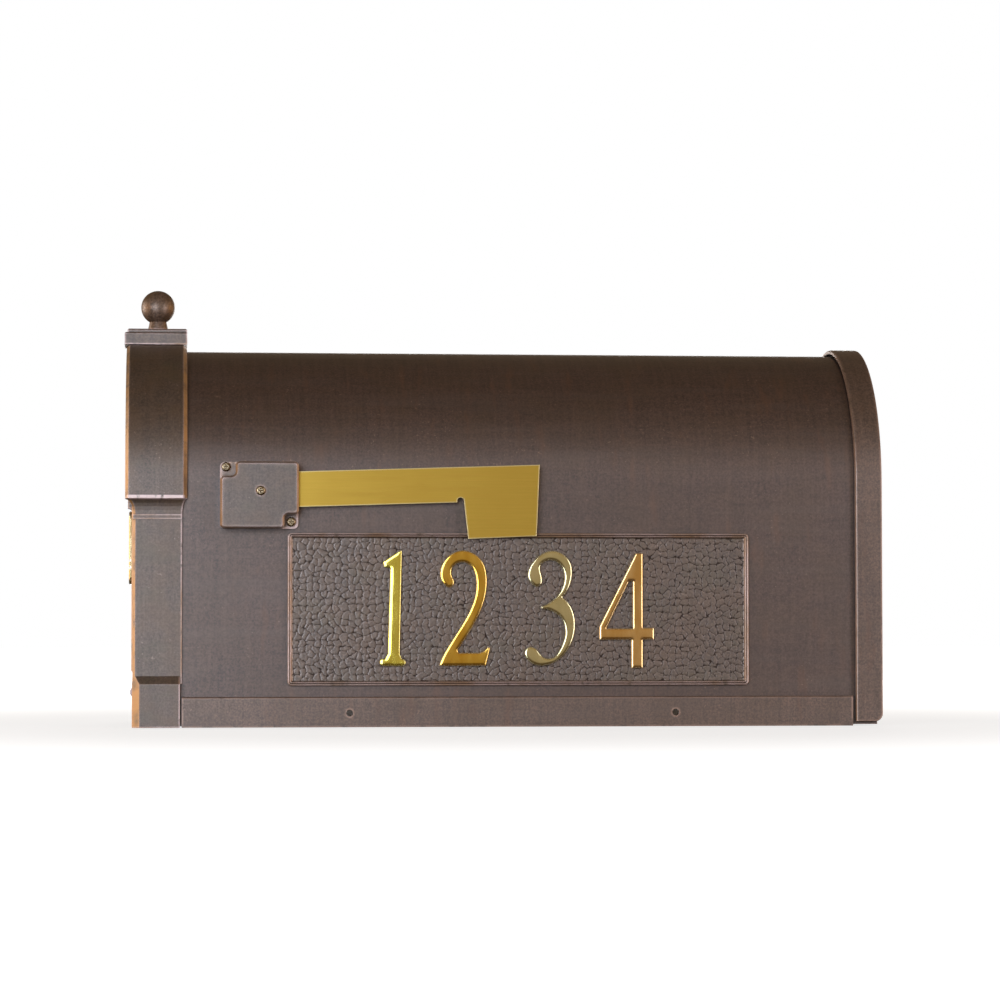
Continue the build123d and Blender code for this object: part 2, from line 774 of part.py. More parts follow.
def outline_four():
    body = make_face(Polyline((22.3, 0), (30.2, 0), (30.2, 19.5), (38.0, 19.5), (38.0, 27.9),
                              (30.2, 27.9), (30.2, 79.1), (25.6, 79.1), (0.2, 28.6),
                              (0.2, 19.5), (22.3, 19.5), close=True))
    eye = make_face(Polyline((5.0, 27.4), (23.3, 27.4), (23.3, 59.6), (20.8, 59.6), close=True))
    return body - eye


# numeral name, outline, left end of its foot, baseline height, lean to the right in degrees,
# and the two stud places in its own outline
numerals = (
    ("numeral_1", outline_one, 172.1, 41.6, 1.0, ((9.5, 14), (9.5, 60))),
    ("numeral_2", outline_two, 212.8, 41.6, 0.0, ((9.0, 4.4), (29.0, 57))),
    ("numeral_3", outline_three, 271.4, 41.6, 0.0, ((31.2, 25), (29.6, 62))),
    ("numeral_4", outline_four, 322.8, 39.8, 0.0, ((26.3, 8), (26.8, 62))),
)


def numeral_place(left, baseline, lean):
    return Pos(left, baseline) * Rot(0, 0, -lean)


def numeral_studs():
    """X, Z of every numeral stud."""
    places = []
    for _, _, left, baseline, lean, studs in numerals:
        for stud in studs:
            spot = (numeral_place(left, baseline, lean) * Pos(*stud)).position
            places.append((spot.X, spot.Y))
    return places


def make_numeral(outline, left, baseline, lean, studs):
    face = side - plaque_field
    sketch = numeral_place(left, baseline, lean) * outline()
    numeral = side_plate(sketch, face, numeral_thickness)
    numeral = chamfer(edges_at(numeral, Axis.Y, face - numeral_thickness), numeral_bevel)
    for stud in studs:
        spot = (numeral_place(left, baseline, lean) * Pos(*stud)).position
        numeral += rod_y(numeral_stud_radius, spot.X, spot.Y, face - 1, side - 0.1)
    return numeral


def main():
    os.makedirs("parts", exist_ok=True)
    save("body_shell", make_body_shell())
    save("floor_pan", make_floor_pan())
    save("side_rail_right", make_side_rail(-1))
    save("side_rail_left", make_side_rail(1))
    save("rear_cap", make_rear_cap())
    save("rear_spacer", make_rear_spacer())
    save("rear_cap_screws", make_rear_cap_screws())
    save("front_frame", make_front_frame())
    save("frame_rivets", make_frame_rivets())
    save("frame_screws", make_frame_screws())
    save("door_hinge_pins", make_hinge_pins())
    save("cap_block", make_cap_block())
    save("finial_ball", make_finial_ball())
    save("catch_magnet", make_catch_magnet())
    save("catch_screws", make_catch_screws())
    save("door_panel", make_door_panel())
    save("strike_plate", make_strike_plate())
    save("strike_rivets", make_strike_rivets())
    save("door_pull", make_door_pull())
    save("pull_screws", make_pull_screws())
    save("flag_housing", make_flag_housing())
    save("housing_screws", make_housing_screws())
    save("housing_nuts", make_housing_nuts())
    save("pivot_screw", make_pivot_screw())
    rear_face = side - housing_base
    front_face = side - housing_depth + housing_front_wall
    save("spring_washer", make_washer(rear_face, rear_face - spring_washer_thickness))
    save("front_washer", make_washer(front_face, front_face + front_washer_thickness))
    save("flag_blade", make_flag_blade())
    save("flag_bushing", make_flag_bushing())
    save("address_plaque", make_address_plaque())
    save("plaque_nuts", make_plaque_nuts())
    for name, outline, left, baseline, lean, studs in numerals:
        save(name, make_numeral(outline, left, baseline, lean, studs))


main()
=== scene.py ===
import math

import bmesh
import bpy
import numpy as np
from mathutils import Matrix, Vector
from mathutils.geometry import delaunay_2d_cdt


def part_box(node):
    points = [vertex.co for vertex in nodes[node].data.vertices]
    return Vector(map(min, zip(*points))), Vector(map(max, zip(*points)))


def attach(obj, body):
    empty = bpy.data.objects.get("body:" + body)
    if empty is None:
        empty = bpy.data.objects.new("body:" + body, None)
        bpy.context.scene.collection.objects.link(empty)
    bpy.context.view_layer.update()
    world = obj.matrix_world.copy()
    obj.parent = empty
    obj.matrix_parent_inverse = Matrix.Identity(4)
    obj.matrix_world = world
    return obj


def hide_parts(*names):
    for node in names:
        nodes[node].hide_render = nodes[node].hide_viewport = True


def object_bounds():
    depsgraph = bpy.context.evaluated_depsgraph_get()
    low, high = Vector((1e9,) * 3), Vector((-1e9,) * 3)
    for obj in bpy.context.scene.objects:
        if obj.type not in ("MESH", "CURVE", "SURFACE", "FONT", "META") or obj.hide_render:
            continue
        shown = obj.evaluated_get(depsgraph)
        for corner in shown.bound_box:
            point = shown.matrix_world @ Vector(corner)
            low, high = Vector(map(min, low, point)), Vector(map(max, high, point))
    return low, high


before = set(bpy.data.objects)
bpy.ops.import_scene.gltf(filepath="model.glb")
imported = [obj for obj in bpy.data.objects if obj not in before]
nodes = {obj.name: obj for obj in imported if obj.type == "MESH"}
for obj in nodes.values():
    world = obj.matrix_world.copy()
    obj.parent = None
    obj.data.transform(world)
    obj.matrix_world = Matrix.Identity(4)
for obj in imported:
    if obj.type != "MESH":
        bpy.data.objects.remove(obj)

# Curbside letter box in antique copper and brass.  Metres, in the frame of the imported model:
# +X from the door to the rear, -Y towards the flag, +Z up.
MM = 0.001
cad_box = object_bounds()

# --- camera and studio --------------------------------------------------------------------------
camera_place = Vector((-0.2375, -2.4076, 0.0431))
camera_turn = 5.643             # degrees to the right of +Y
camera_rise = 2.284             # degrees above level
camera_roll = 0.043             # degrees
camera_lens = 121.99            # on a 36 mm sensor

floor_reach = 14.0
floor_shade = 0.3               # the floor is greyest nearer than this to the box's origin
floor_clear = 0.9               # and plain white beyond this
softbox_distance = 2.3
# share of the way from straight down to straight up, and the colour of the room there
room_stops = (
    (0.0, (0.05, 0.035, 0.022)), (0.42, (0.12, 0.085, 0.055)), (0.50, (0.45, 0.37, 0.30)),
    (0.62, (0.44, 0.34, 0.24)), (0.80, (0.21, 0.15, 0.09)), (1.0, (0.105, 0.071, 0.041)),
)

# --- worn strip along the hood's lower edge ------------------------------------------------------
lip_low = 136.1 * MM            # height of the edge
lip_width = 2.6 * MM
lip_side = 100.2 * MM           # |Y| of the hood's sides

# --- plaque -------------------------------------------------------------------------------------
plaque_corner = 3.0 * MM
plaque_least_corner = 0.5 * MM
plaque_outline_step = 1.1 * MM
plaque_stud_inset = 15.0 * MM
plaque_stud_radius = 1.9 * MM
# the double bead round the field, in millimetres: depth in from the edge, height above the wall,
# and how free it is of dark wash
plaque_profile = (
    (0.0, 2.60, 1.0), (0.2, 2.95, 1.0), (0.5, 3.18, 1.0), (0.9, 3.20, 1.0), (1.2, 3.02, 0.6),
    (1.4, 2.72, 0.1), (1.6, 2.70, 0.1), (1.8, 2.92, 0.6), (2.1, 3.08, 1.0), (2.5, 3.02, 1.0),
    (2.8, 2.60, 0.5), (3.1, 2.15, 0.3),
)
field_fade = 0.6 * MM           # width over which the beads pass into the pebbled field
field_drop = 0.30 * MM          # depth of the cracks below the beads' foot
pebble_size = 4.7 * MM
pebble_relief = 0.15 * MM       # height of the lowest pebbles
pebble_spread = 0.08 * MM       # how much higher the highest ones are
pebble_step = 0.67 * MM         # between the mesh points of the field
pebble_seed = 11
pebble_jitter = 0.76            # 0 puts the pebbles' middles on a square grid
# length and amount of the waves that bend the pebbles' outlines
wide_bend = (8.0 * MM, 0.35 * MM)
fine_bend = (2.6 * MM, 0.34 * MM)
crack_width = 0.22              # as a share of the pebble's size
split_seed = 12
split_share = 0.78              # pebbles whose number is above this are split again
split_depth = 0.55
split_bend = (4.0 * MM, 0.2 * MM)

# --- numerals -----------------------------------------------------------------------------------
numeral_seat = 1.0 * MM         # from the plaque's front to the plane of the numeral's back
numeral_least_loop = 3.0 * MM   # narrower loops in that plane are the studs
numeral_outline_step = 0.5 * MM
numeral_grid_step = 0.55 * MM
numeral_round = 0.5 * MM        # small radius round the outer edge
numeral_slope = 0.17            # fall of the soft bevel inside it
numeral_bevel = 1.8 * MM
round_steps = (0.1, 0.3, 0.6, 1.0, 1.7)     # rings of mesh points, as shares of the round
bevel_steps = (0.65, 1.0, 1.3)              # and of the bevel
numeral_crown = 0.06 * MM
numeral_crown_width = 4.6 * MM
# degrees that each face turns from the plaque, as hand-set numerals do
numeral_tilts = {"numeral_1": 4.5, "numeral_2": 0.8, "numeral_3": -1.0, "numeral_4": 0.3}

# lacquered brass ages unevenly, and each polished piece lies between two tones; the tones also hold
# painted reflection, lighter for the pieces that catch more light
brass_tones = {
    "numeral_1": ((0.80, 0.70, 0.11, 1.0), (0.92, 0.82, 0.16, 1.0)),
    "numeral_2": ((0.72, 0.42, 0.05, 1.0), (0.88, 0.58, 0.10, 1.0)),
    "numeral_3": ((0.62, 0.56, 0.29, 1.0), (0.74, 0.67, 0.37, 1.0)),
    "numeral_4": ((0.72, 0.43, 0.13, 1.0), (0.86, 0.58, 0.24, 1.0)),
    "door_pull": ((0.90, 0.78, 0.42, 1.0), (0.96, 0.86, 0.54, 1.0)),
}


# --- node graphs --------------------------------------------------------------------------------
class Graph:
    """Short calls for the nodes of one material or of the world."""

    def __init__(self, owner):
        self.owner = owner
        owner.use_nodes = True
        self.tree = owner.node_tree
        self.tree.nodes.clear()
        self.coordinates = self.add("ShaderNodeTexCoord").outputs
        self.place = self.coordinates["Object"]

    def add(self, kind, inputs=None, **settings):
        """New node with its settings made and its inputs set or linked."""
        node = self.tree.nodes.new(kind)
        for name, value in settings.items():
            setattr(node, name, value)
        for name, value in (inputs or {}).items():
            self.set(node.inputs[name], value)
        return node

    def set(self, socket, value):
        """Links a socket to another one, or sets its own value."""
        if isinstance(value, bpy.types.NodeSocket):
            self.tree.links.new(value, socket)
        else:
            socket.default_value = value

    def noise(self, repeats, detail=2.0, roughness=0.5, shift=0.0):
        """Noise with its own number of features a metre along X, Y and Z."""
        place = {"Vector": self.place, "Location": (shift, shift, shift), "Scale": repeats}
        stretch = self.add("ShaderNodeMapping", place)
        inputs = {"Vector": stretch.outputs[0], "Scale": 1.0, "Detail": detail, "Roughness": roughness}
        return self.add("ShaderNodeTexNoise", inputs).outputs[0]

    def fade(self, value, low, high, start=0.0, end=1.0):
        """Smooth step of value, from start at low to end at high."""
        inputs = {"Value": value, "From Min": low, "From Max": high, "To Min": start, "To Max": end}
        return self.add("ShaderNodeMapRange", inputs, interpolation_type="SMOOTHSTEP").outputs[0]

    def fade_line(self, value, low, high):
        """Straight line from 0 at low to 1 at high."""
        inputs = {"Value": value, "From Min": low, "From Max": high}
        return self.add("ShaderNodeMapRange", inputs).outputs[0]

    def math(self, operation, first, second=0.0):
        """One arithmetic step on two numbers."""
        return self.add("ShaderNodeMath", {0: first, 1: second}, operation=operation).outputs[0]

    def blend(self, amount, first, second):
        """Colour between first and second."""
        inputs = {0: amount, 6: first, 7: second}
        return self.add("ShaderNodeMix", inputs, data_type="RGBA").outputs[2]

    def mask(self, amount, first, second):
        """Number between first and second."""
        return self.add("ShaderNodeMix", {0: amount, 2: first, 3: second}, data_type="FLOAT").outputs[0]

    def chamfers(self):
        """1 where the surface is slanted between the side and an end of the box, 0 elsewhere; a warm
        reflection is painted there.
        """
        normal = self.add("ShaderNodeSeparateXYZ", {0: self.coordinates["Normal"]})
        along = self.math("ABSOLUTE", normal.outputs[0])
        return self.math("MULTIPLY", self.fade(along, 0.25, 0.50), self.fade(along, 0.97, 0.85))

    def edges(self, reach):
        """1 on sharp outside edges, fading to 0 within reach."""
        inside = self.add("ShaderNodeAmbientOcclusion", {"Distance": reach}, inside=True,
                          only_local=True, samples=6).outputs["AO"]
        return self.fade(inside, 0.97, 0.62)

    def corners(self, reach):
        """1 deep in corners, seams and where parts meet, fading to 0 within reach; painted shade goes
        there.
        """
        outside = self.add("ShaderNodeAmbientOcclusion", {"Distance": reach}, samples=6).outputs["AO"]
        return self.fade(outside, 0.72, 0.25)

    def finish(self, colour, roughness, height, depth, metallic, edge_radius=0.0, **sockets):
        """Principled surface with bump; further values go on the shader's sockets of that name."""
        shader = self.add("ShaderNodeBsdfPrincipled")
        self.set(shader.inputs["Base Color"], colour)
        self.set(shader.inputs["Roughness"], roughness)
        self.set(shader.inputs["Metallic"], metallic)
        bump = self.add("ShaderNodeBump", {"Height": height, "Distance": depth, "Strength": 1.0})
        if edge_radius:
            rounded = self.add("ShaderNodeBevel", {"Radius": edge_radius}, samples=4)
            self.set(bump.inputs["Normal"], rounded.outputs[0])
        self.set(shader.inputs["Normal"], bump.outputs[0])
        for name, value in sockets.items():
            self.set(shader.inputs[name.replace("_", " ")], value)
        output = self.add("ShaderNodeOutputMaterial")
        self.set(output.inputs["Surface"], shader.outputs[0])
        return self.owner


def material_graph(name):
    """Graph of a new material."""
    return Graph(bpy.data.materials.new(name))


def rgb(red, green, blue):
    """Opaque colour in linear light."""
    return (red, green, blue, 1.0)


# --- materials ----------------------------------------------------------------------------------
wax = {"Coat_Roughness": 0.42, "Coat_IOR": 1.9}


def rubbing(g, along, across, fine):
    """Marks of hand rubbing: short streaks along X, longer ones up and down, and fine grain."""
    level = g.fade(g.noise((30, along, along), 4.0, 0.70), 0.30, 0.72)
    upright = g.fade(g.noise((across, 14, 14), 4.0, 0.70), 0.30, 0.72)
    grain = g.fade(g.noise((fine, fine, fine), 3.0, 0.72), 0.33, 0.67)
    return g.mask(0.58, g.mask(0.60, level, upright), grain)


def patches(g, repeats, low, high, shift=0.0):
    """Soft-edged patches: 0 below low, 1 above high."""
    return g.fade(g.noise(repeats, 3.0, 0.55, shift), low, high)


def specks(g, repeats, cluster):
    """Sparse bright flecks that come in patches."""
    fleck = g.fade(g.noise((repeats, repeats, repeats), 1.5, 0.5), 0.66, 0.72)
    return g.math("MULTIPLY", fleck, patches(g, (cluster, cluster, cluster), 0.46, 0.62))


def tint(g, amount, strength, colour, layer):
    """Lays a layer of colour over another where amount is high."""
    return g.blend(g.math("MULTIPLY", amount, strength), colour, layer)


def antique_sheet(name, low, high, wear):
    """Brushed sheet, hand-rubbed copper over dark brown; low and high are the grain's two tones."""
    g = material_graph(name)
    grain = rubbing(g, 420, 400, 720)
    colour = g.blend(grain, low, high)
    colour = tint(g, patches(g, (34, 34, 34), 0.38, 0.68), 0.26, colour, rgb(0.108, 0.062, 0.030))
    colour = tint(g, patches(g, (7, 90, 90), 0.46, 0.72, 7.3), 0.26, colour, rgb(0.138, 0.100, 0.086))
    colour = tint(g, patches(g, (120, 26, 26), 0.56, 0.74, 4.1), 0.45, colour, rgb(0.160, 0.074, 0.040))
    colour = tint(g, patches(g, (8, 60, 60), 0.50, 0.74, 2.2), 0.16, colour, rgb(0.044, 0.027, 0.020))
    colour = tint(g, specks(g, 620, 40), 0.5, colour, rgb(0.36, 0.23, 0.17))
    worn = g.math("MULTIPLY", g.edges(wear), patches(g, (130, 130, 130), 0.28, 0.50))
    colour = tint(g, worn, 0.85, colour, rgb(0.50, 0.32, 0.24))
    # painted shade: near-black in corners, seams and where the sheet meets other parts
    colour = tint(g, g.corners(5.0 * MM), 0.85, colour, rgb(0.014, 0.009, 0.008))
    return g.finish(colour, g.mask(grain, 0.50, 0.36), grain, 0.034 * MM, 0.5, Coat_Weight=0.80,
                    **wax)


def lip_strip(g):
    """1 in the rubbed strip along the hood's lower edge, broken here and there."""
    _, y, z = g.add("ShaderNodeSeparateXYZ", {0: g.place}).outputs
    top = g.fade(z, lip_low + lip_width, lip_low + 0.7 * lip_width)
    bottom = g.fade(z, lip_low - 1.0 * MM, lip_low - 0.5 * MM)
    outside = g.fade(g.math("ABSOLUTE", y), lip_side - 1.4 * MM, lip_side - 0.8 * MM)
    strip = g.math("MULTIPLY", g.math("MULTIPLY", top, bottom), outside)
    return g.math("MULTIPLY", strip, patches(g, (260, 90, 90), 0.25, 0.48, 6.2))


def antique_casting(name, wear=1.5 * MM, coat=1.0, warmth=0.35, bright=1.0, slant_reflection=0.25, lip=False,
                     crevices=False):
    """Sand casting, hand-rubbed copper over dark brown, with worn light edges, a painted warm reflection
    on the slanted faces and painted shade in corners and seams.
    """
    g = material_graph(name)
    grain = rubbing(g, 440, 420, 700)
    low = rgb(0.036 * bright, 0.023 * bright, 0.015 * bright)
    high = rgb(0.166 * bright, 0.110 * bright, 0.078 * bright)
    colour = g.blend(grain, low, high)
    colour = tint(g, patches(g, (48, 48, 48), 0.40, 0.66), warmth, colour, rgb(0.150, 0.080, 0.034))
    colour = tint(g, patches(g, (36, 36, 60), 0.46, 0.68, 5.7), 0.35, colour, rgb(0.096, 0.078, 0.040))
    colour = tint(g, specks(g, 560, 60), 0.4, colour, rgb(0.44, 0.32, 0.26))
    # painted reflection: slanted faces are tinted warm orange in patches, as if they caught warm light
    # from beside the box
    slants = g.math("MULTIPLY", g.chamfers(), patches(g, (90, 90, 90), 0.20, 0.55, 8.4))
    colour = tint(g, slants, slant_reflection, colour, rgb(0.58, 0.31, 0.105))
    if lip:
        colour = tint(g, lip_strip(g), 0.9, colour, rgb(0.86, 0.68, 0.65))
    pale = patches(g, (30, 30, 30), 0.36, 0.56, 3.1)
    rubbed = g.blend(pale, rgb(0.50, 0.29, 0.17), rgb(0.70, 0.52, 0.49))
    worn = g.math("MULTIPLY", g.edges(wear), patches(g, (200, 200, 200), 0.22, 0.46))
    colour = tint(g, worn, 0.95, colour, rubbed)
    # painted shade: near-black in corners, seams and where the casting meets other parts
    colour = tint(g, g.corners(3.0 * MM), 0.85, colour, rgb(0.016, 0.010, 0.009))
    if crevices:
        top = g.add("ShaderNodeAttribute", attribute_name="relief").outputs["Fac"]
        deep = g.fade(top, 0.62, 0.10)
        colour = g.blend(deep, colour, rgb(0.034, 0.021, 0.016))
        shine = g.math("MULTIPLY", g.fade(top, 0.80, 1.0), patches(g, (420, 420, 420), 0.50, 0.66))
        colour = tint(g, shine, 0.30, colour, rgb(0.30, 0.22, 0.17))
        coat = g.mask(deep, coat, 0.0)
    return g.finish(colour, g.mask(grain, 0.50, 0.36), grain, 0.035 * MM, 0.5, 0.4 * MM,
                    Coat_Weight=coat, **wax)


def satin_brass():
    """Satin brushed brass sheet under lacquer."""
    g = material_graph("satin_brass")
    streak = g.fade(g.noise((14, 700, 700), 3.0, 0.6), 0.25, 0.75)
    colour = g.blend(streak, rgb(0.64, 0.435, 0.074), rgb(0.70, 0.48, 0.088))
    colour = tint(g, patches(g, (30, 30, 30), 0.35, 0.65), 0.3, colour, rgb(0.62, 0.405, 0.068))
    # painted highlight: pale bright yellow along the edges
    colour = tint(g, g.edges(1.0 * MM), 0.85, colour, rgb(1.0, 0.90, 0.50))
    return g.finish(colour, g.mask(streak, 0.36, 0.29), streak, 0.004 * MM, 1.0, 0.3 * MM)


def polished_brass(name, low, high):
    """Polished brass under lacquer that has aged between two tones, with a painted highlight on its edges:
    paler, rougher and less metallic there.
    """
    g = material_graph(name)
    smear = patches(g, (90, 90, 40), 0.35, 0.65)
    colour = g.blend(smear, low, high)
    pit = g.fade(g.noise((900, 900, 900), 1.0), 0.70, 0.74)
    colour = tint(g, pit, 0.4, colour, rgb(0.20, 0.12, 0.04))
    # painted highlight: the edges turn pale cream, rougher and less metallic, so they look lit from every
    # side
    rim = g.edges(1.0 * MM)
    colour = tint(g, rim, 0.9, colour, rgb(1.0, 0.94, 0.72))
    roughness = g.mask(rim, g.mask(smear, 0.08, 0.15), 0.42)
    return g.finish(colour, roughness, smear, 0.005 * MM, g.mask(rim, 1.0, 0.35))


def aged_screw():
    """Antiqued brass screw, with painted shade in its recess."""
    g = material_graph("aged_screw")
    mottle = g.fade(g.noise((900, 900, 900), 3.0), 0.35, 0.65)
    colour = g.blend(mottle, rgb(0.13, 0.085, 0.045), rgb(0.36, 0.27, 0.15))
    colour = g.blend(g.edges(0.5 * MM), colour, rgb(0.75, 0.62, 0.42))
    # painted shade: near-black in the recess and where the screw meets the part around it
    colour = g.blend(g.corners(1.6 * MM), colour, rgb(0.03, 0.02, 0.012))
    return g.finish(colour, g.mask(mottle, 0.24, 0.40), mottle, 0.02 * MM, 1.0)


def zinc_steel():
    """Zinc plated hardware."""
    g = material_graph("zinc_steel")
    spangle = g.fade(g.noise((700, 700, 700), 3.0), 0.35, 0.65)
    colour = g.blend(spangle, rgb(0.36, 0.36, 0.37), rgb(0.56, 0.56, 0.55))
    # painted shade: dark grey in corners and where parts meet
    colour = g.blend(g.corners(2.0 * MM), colour, rgb(0.10, 0.09, 0.08))
    return g.finish(colour, g.mask(spangle, 0.28, 0.44), spangle, 0.01 * MM, 1.0)


def mill_sheet():
    """Bare mill-finish sheet, slightly oxidised."""
    g = material_graph("mill_sheet")
    rolled = g.fade(g.noise((8, 700, 700), 3.0, 0.6), 0.3, 0.7)
    cloud = g.fade(g.noise((40, 40, 40), 3.0), 0.35, 0.65)
    colour = g.blend(rolled, rgb(0.36, 0.35, 0.34), rgb(0.50, 0.49, 0.48))
    colour = g.blend(g.math("MULTIPLY", cloud, 0.3), colour, rgb(0.30, 0.28, 0.26))
    return g.finish(colour, g.mask(cloud, 0.38, 0.52), rolled, 0.01 * MM, 0.9)


def ceramic_magnet():
    """Dull dark sintered magnet."""
    g = material_graph("ceramic_magnet")
    grain = g.fade(g.noise((1500, 1500, 1500), 2.0), 0.3, 0.7)
    colour = g.blend(grain, rgb(0.030, 0.030, 0.034), rgb(0.065, 0.065, 0.070))
    colour = g.blend(g.math("MULTIPLY", g.edges(0.6 * MM), 0.5), colour, rgb(0.16, 0.16, 0.16))
    return g.finish(colour, g.mask(grain, 0.55, 0.75), grain, 0.03 * MM, 0.0)


def packing_rubber():
    """Black foam strip."""
    g = material_graph("packing_rubber")
    cells = g.fade(g.noise((1800, 1800, 1800), 2.0), 0.3, 0.7)
    colour = g.blend(cells, rgb(0.008, 0.008, 0.008), rgb(0.020, 0.019, 0.019))
    return g.finish(colour, g.mask(cells, 0.7, 0.9), cells, 0.08 * MM, 0.0)


def assign(material, *names):
    """Gives CAD nodes their material."""
    for name in names:
        mesh = nodes[name].data
        mesh.materials.clear()
        mesh.materials.append(material)


# --- meshes -------------------------------------------------------------------------------------
def new_piece(name, vertices, faces, material, smooth=True):
    """Mesh object in the scene."""
    mesh = bpy.data.meshes.new(name)
    mesh.from_pydata(vertices, [], faces)
    mesh.validate()
    mesh.update()
    mesh.materials.append(material)
    piece = bpy.data.objects.new(name, mesh)
    bpy.context.scene.collection.objects.link(piece)
    if smooth:
        mesh.shade_smooth()
    return piece


def wall_loops(node, y):
    """Closed (x, z) loops where the walls of a flat CAD node meet the plane at y."""
    source = bmesh.new()
    source.from_mesh(nodes[node].data)
    bmesh.ops.remove_doubles(source, verts=source.verts, dist=0.001 * MM)
    near = 0.01 * MM
    links = {}
    for edge in source.edges:
        if any(abs(v.co.y - y) > near for v in edge.verts):
            continue
        lying = [abs(face.normal.y) > 0.9 for face in edge.link_faces]
        if len(lying) == 2 and lying[0] != lying[1]:
            a, b = edge.verts
            links.setdefault(a, []).append(b)
            links.setdefault(b, []).append(a)
    loops = []
    while links:
        start = next(iter(links))
        loop = [start]
        here = start
        while links.get(here):
            there = links[here].pop()
            links[there].remove(here)
            if not links[here]:
                del links[here]
            here = there
            if here is start:
                break
            loop.append(here)
        links.pop(here, None)
        loops.append(np.array([(v.co.x, v.co.z) for v in loop]))
    source.free()
    return loops


def resample(loop, step):
    """The same closed loop with no stretch longer than step."""
    points = []
    for here, there in zip(loop, np.roll(loop, -1, axis=0)):
        count = max(1, math.ceil(np.linalg.norm(there - here) / step))
        for k in range(count):
            points.append(here + (there - here) * k / count)
    return np.array(points)


def distance_to(points, loops):
    """Distance from each point to the nearest stretch of the loops."""
    best = np.full(len(points), np.inf)
    for loop in loops:
        starts = loop
        runs = np.roll(loop, -1, axis=0) - loop
        lengths = np.maximum((runs**2).sum(axis=1), 1e-18)
        for start, run, length in zip(starts, runs, lengths):
            along = np.clip(((points - start) @ run) / length, 0, 1)
            gap = points - (start + along[:, None] * run)
            best = np.minimum(best, np.hypot(gap[:, 0], gap[:, 1]))
    return best


def inside_of(points, loops):
    """True for points inside the outline, by counting crossings."""
    crossings = np.zeros(len(points), int)
    for loop in loops:
        for (x0, z0), (x1, z1) in zip(loop, np.roll(loop, -1, axis=0)):
            if z0 == z1:
                continue
            span = (points[:, 1] > min(z0, z1)) & (points[:, 1] <= max(z0, z1))
            at = x0 + (points[:, 1] - z0) / (z1 - z0) * (x1 - x0)
            crossings += span & (points[:, 0] < at)
    return crossings % 2 == 1


def inset_rings(loops, depths):
    """Points at fixed depths inside the loops, where the outline leaves room for them."""
    rings = []
    for loop in loops:
        ahead = np.roll(loop, -1, axis=0) - np.roll(loop, 1, axis=0)
        ahead /= np.linalg.norm(ahead, axis=1)[:, None]
        inward = np.stack([-ahead[:, 1], ahead[:, 0]], axis=1)
        for depth in depths:
            for sign in (1, -1):
                ring = loop + sign * inward * depth
                keep = inside_of(ring, loops) & (distance_to(ring, loops) > 0.96 * depth)
                rings.append(ring[keep])
    return np.concatenate(rings)


def hex_points(low, high, step):
    """Triangular grid of points in a rectangle."""
    rows = []
    rise = step * math.sqrt(3) / 2
    for row in range(int((high[1] - low[1]) / rise) + 1):
        xs = np.arange(low[0] + (row % 2) * step / 2, high[0], step)
        rows.append(np.stack([xs, np.full(len(xs), low[1] + row * rise)], axis=1))
    return np.concatenate(rows)


def triangulate(corners, edges, inner_points, loops):
    """Points, counter-clockwise triangles inside the loops, and where each corner ended up."""
    flat = [Vector(p) for p in corners] + [Vector(p) for p in inner_points]
    points, _, faces, origins, _, _ = delaunay_2d_cdt(flat, edges, [], 0, 1e-8, True)
    points = np.array([tuple(p) for p in points])
    faces = np.array([tuple(face) for face in faces])
    faces = faces[inside_of(points[faces].mean(axis=1), loops)]
    a, b, c = (points[faces[:, k]] for k in range(3))
    turn = (b[:, 0] - a[:, 0]) * (c[:, 1] - a[:, 1]) - (c[:, 0] - a[:, 0]) * (b[:, 1] - a[:, 1])
    faces[turn < 0] = faces[turn < 0][:, ::-1]
    place_of = {origin: k for k, found in enumerate(origins) for origin in found}
    return points, faces, [place_of[k] for k in range(len(corners))]


def relief_solid(name, loops, inner_points, height_of, wall_y, material):
    """Closed solid on the plane y = wall_y whose front follows height_of(points, depth)."""
    corners, edges = [], []
    for loop in loops:
        first = len(corners)
        corners.extend(loop)
        count = len(loop)
        edges.extend((first + k, first + (k + 1) % count) for k in range(count))
    points, faces, rim = triangulate(corners, edges, inner_points, loops)
    heights = height_of(points, distance_to(points, loops))
    total = len(points)
    places = [(x, wall_y - h, z) for (x, z), h in zip(points, heights)]
    shape = [tuple(face) for face in faces]
    back_points, back_faces, back_rim = triangulate(corners, edges, [], loops)
    places += [(x, wall_y, z) for x, z in back_points]
    shape += [tuple(total + k for k in reversed(face)) for face in back_faces]
    for start, end in edges:
        shape.append((rim[start], rim[end], total + back_rim[end], total + back_rim[start]))
    piece = new_piece(name, places, shape, material)
    solid = bmesh.new()
    solid.from_mesh(piece.data)
    bmesh.ops.recalc_face_normals(solid, faces=solid.faces)
    solid.to_mesh(piece.data)
    solid.free()
    piece.data.set_sharp_from_angle(angle=math.radians(50))
    return piece, points


def rounded_rectangle(low, high, radius, step):
    """Closed loop of (x, z) points with arcs at the corners."""
    arc_points = 7
    centres = ((high[0], high[1], 0), (low[0], high[1], 90), (low[0], low[1], 180), (high[0], low[1], 270))
    loop = []
    for x, z, start in centres:
        cx = x - radius if x == high[0] else x + radius
        cz = z - radius if z == high[1] else z + radius
        for k in range(arc_points + 1):
            angle = math.radians(start + 90 * k / arc_points)
            loop.append((cx + radius * math.cos(angle), cz + radius * math.sin(angle)))
    return resample(np.array(loop), step)


